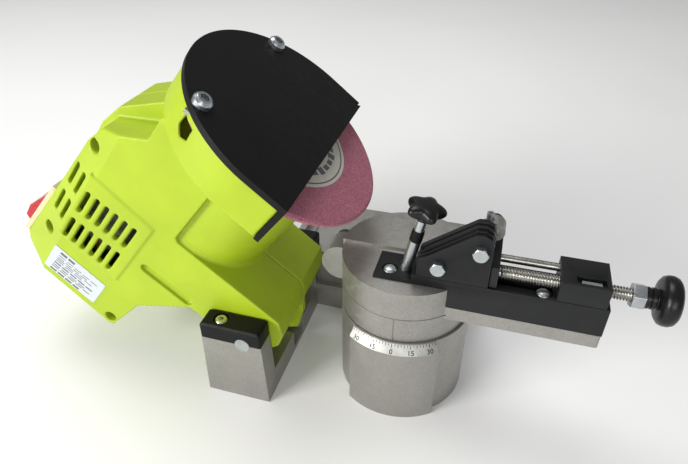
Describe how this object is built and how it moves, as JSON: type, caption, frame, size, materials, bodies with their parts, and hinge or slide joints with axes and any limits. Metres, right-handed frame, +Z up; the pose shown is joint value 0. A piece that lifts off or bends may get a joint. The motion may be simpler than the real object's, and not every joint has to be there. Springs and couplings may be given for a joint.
{
  "type": "chain grinder",
  "caption": "Bench saw-chain sharpener: a motor head with a guarded abrasive wheel hinges in a cast yoke over a swivelling chain vise.",
  "frame": {"origin": "on the ground under the middle of the bounding box", "axes": "+X from the yoke to the turntable and vise, +Y away from the operator, +Z up"},
  "size_m": [0.3226, 0.1445, 0.1748],
  "materials": {
    "cast_aluminium": "as-cast, fine grain, matt",
    "black_plastic": "moulded, fine texture",
    "black_knob": "moulded, satin gloss",
    "black_steel": "black oxide and paint, satin",
    "green_plastic": "moulded lime green, satin",
    "zinc": "bright zinc plate",
    "yellow_zinc": "yellow zinc plate",
    "steel": "turned and ground",
    "scale_strip": "machined bright, dark marks",
    "abrasive": "pink fused alumina, vitrified, granular",
    "label_paper": "uncoated card",
    "plate_film": "blank white film",
    "cream_plastic": "moulded",
    "red_plastic": "moulded, glossy",
    "laminations": "varnished steel sheets",
    "copper": "turned copper bars",
    "brass": "pressed",
    "belt_rubber": "flat belt"
  },
  "bodies": {
    "base": {"base_casting": "cast_aluminium", "yoke_cap_front": "black_plastic", "yoke_cap_rear": "black_plastic", "cap_screws": "yellow_zinc", "hinge_pin": "zinc", "angle_scale": "scale_strip", "depth_stop_nut": "zinc"},
    "depth_stop": {"depth_stop_screw": "zinc"},
    "turntable": {"turntable": "cast_aluminium", "pivot_bolt": "zinc", "pivot_washer": "zinc", "vise_rail": "black_steel", "rail_screws": "zinc", "jaw_front": "black_steel", "jaw_bolts": "zinc", "jaw_nuts": "zinc", "clamp_stud": "zinc", "clamp_collar": "black_plastic", "screw_block": "black_steel", "block_insert": "zinc", "guide_rod": "steel"},
    "lock_knob": {"table_lock_knob": "black_knob"},
    "rear_jaw": {"jaw_rear": "black_steel"},
    "clamp_knob": {"clamp_knob": "black_knob"},
    "stop_carriage": {"stop_carriage": "black_steel", "stop_pin": "zinc"},
    "adjuster": {"adjuster_screw": "steel", "adjuster_nut": "zinc", "adjuster_knob": "black_knob"},
    "chain_stop": {"chain_stop": "cast_aluminium", "stop_set_screw": "zinc"},
    "head": {"housing_front": "green_plastic", "housing_rear": "green_plastic", "housing_screws": "zinc", "hinge_sleeve": "steel", "wheel_cover": "black_plastic", "cover_screws": "zinc", "cover_nuts": "steel", "rating_plate": "plate_film", "switch_frame": "cream_plastic", "switch_body": "black_plastic", "cable_gland": "black_plastic", "motor_stator": "laminations", "brush_holders": "brass", "motor_bearings": "steel", "drive_belt": "belt_rubber", "spindle_bearings": "steel"},
    "rocker": {"switch_rocker": "red_plastic"},
    "rotor": {"motor_rotor": "laminations", "commutator": "copper", "cooling_fan": "black_plastic", "drive_pulley": "black_plastic"},
    "spindle": {"spindle": "steel", "driven_pulley": "black_plastic", "inner_flange": "zinc", "grinding_wheel": "abrasive", "wheel_label": "label_paper", "outer_flange": "zinc", "wheel_screw": "zinc"}
  },
  "joints": [
    {"name": "head_tilt", "type": "hinge", "parent": "base", "child": "head", "pos_m": [-0.02378, -0.01875, 0.0394], "axis": [0, 1, 0], "range_deg": [0, 17]},
    {"name": "table_swivel", "type": "hinge", "parent": "base", "child": "turntable", "pos_m": [0.04762, -0.01875, 0.06], "axis": [0, 0, 1], "range_deg": [-35, 35]},
    {"name": "lock_knob_turn", "type": "hinge", "parent": "turntable", "child": "lock_knob", "pos_m": [0.04762, -0.01875, 0.03], "axis": [0, 0, 1], "range_deg": [0, 180]},
    {"name": "depth_stop_slide", "type": "slide", "parent": "base", "child": "depth_stop", "axis": [1, 0, 0], "range_m": [-0.004, 0]},
    {"name": "rear_jaw_slide", "type": "slide", "parent": "turntable", "child": "rear_jaw", "axis": [0, -1, 0], "range_m": [0, 0.0011]},
    {"name": "clamp_turn", "type": "hinge", "parent": "turntable", "child": "clamp_knob", "pos_m": [0.04922, -0.03295, 0.0803], "axis": [0.1994, 0, 0.9799], "range_deg": [0, 540]},
    {"name": "stop_slide", "type": "slide", "parent": "turntable", "child": "stop_carriage", "axis": [1, 0, 0], "range_m": [0, 0.012]},
    {"name": "adjuster_turn", "type": "hinge", "parent": "stop_carriage", "child": "adjuster", "pos_m": [0.13762, -0.035, 0.089], "axis": [1, 0, 0], "range_deg": [0, 3600]},
    {"name": "chain_stop_flip", "type": "hinge", "parent": "stop_carriage", "child": "chain_stop", "pos_m": [0.08572, -0.02075, 0.1025], "axis": [0, 1, 0], "range_deg": [0, 60]},
    {"name": "rocker_tilt", "type": "hinge", "parent": "head", "child": "rocker", "pos_m": [-0.14696, -0.01875, 0.07792], "axis": [0, 1, 0], "range_deg": [-10, 0]},
    {"name": "wheel_spin", "type": "hinge", "parent": "head", "child": "spindle", "pos_m": [-0.02491, -0.01875, 0.11775], "axis": [0.632, 0, 0.7749], "continuous": true},
    {"name": "motor_spin", "type": "hinge", "parent": "head", "child": "rotor", "pos_m": [-0.09198, -0.01875, 0.09502], "axis": [0.632, 0, 0.7749], "continuous": true}
  ],
  "couplings": [
    {"joint": "clamp_turn", "follows": "rear_jaw_slide", "rad_per_m": 8568},
    {"joint": "adjuster_turn", "follows": "stop_slide", "rad_per_m": 5236},
    {"joint": "motor_spin", "follows": "wheel_spin", "ratio": 2.29}
  ]
}
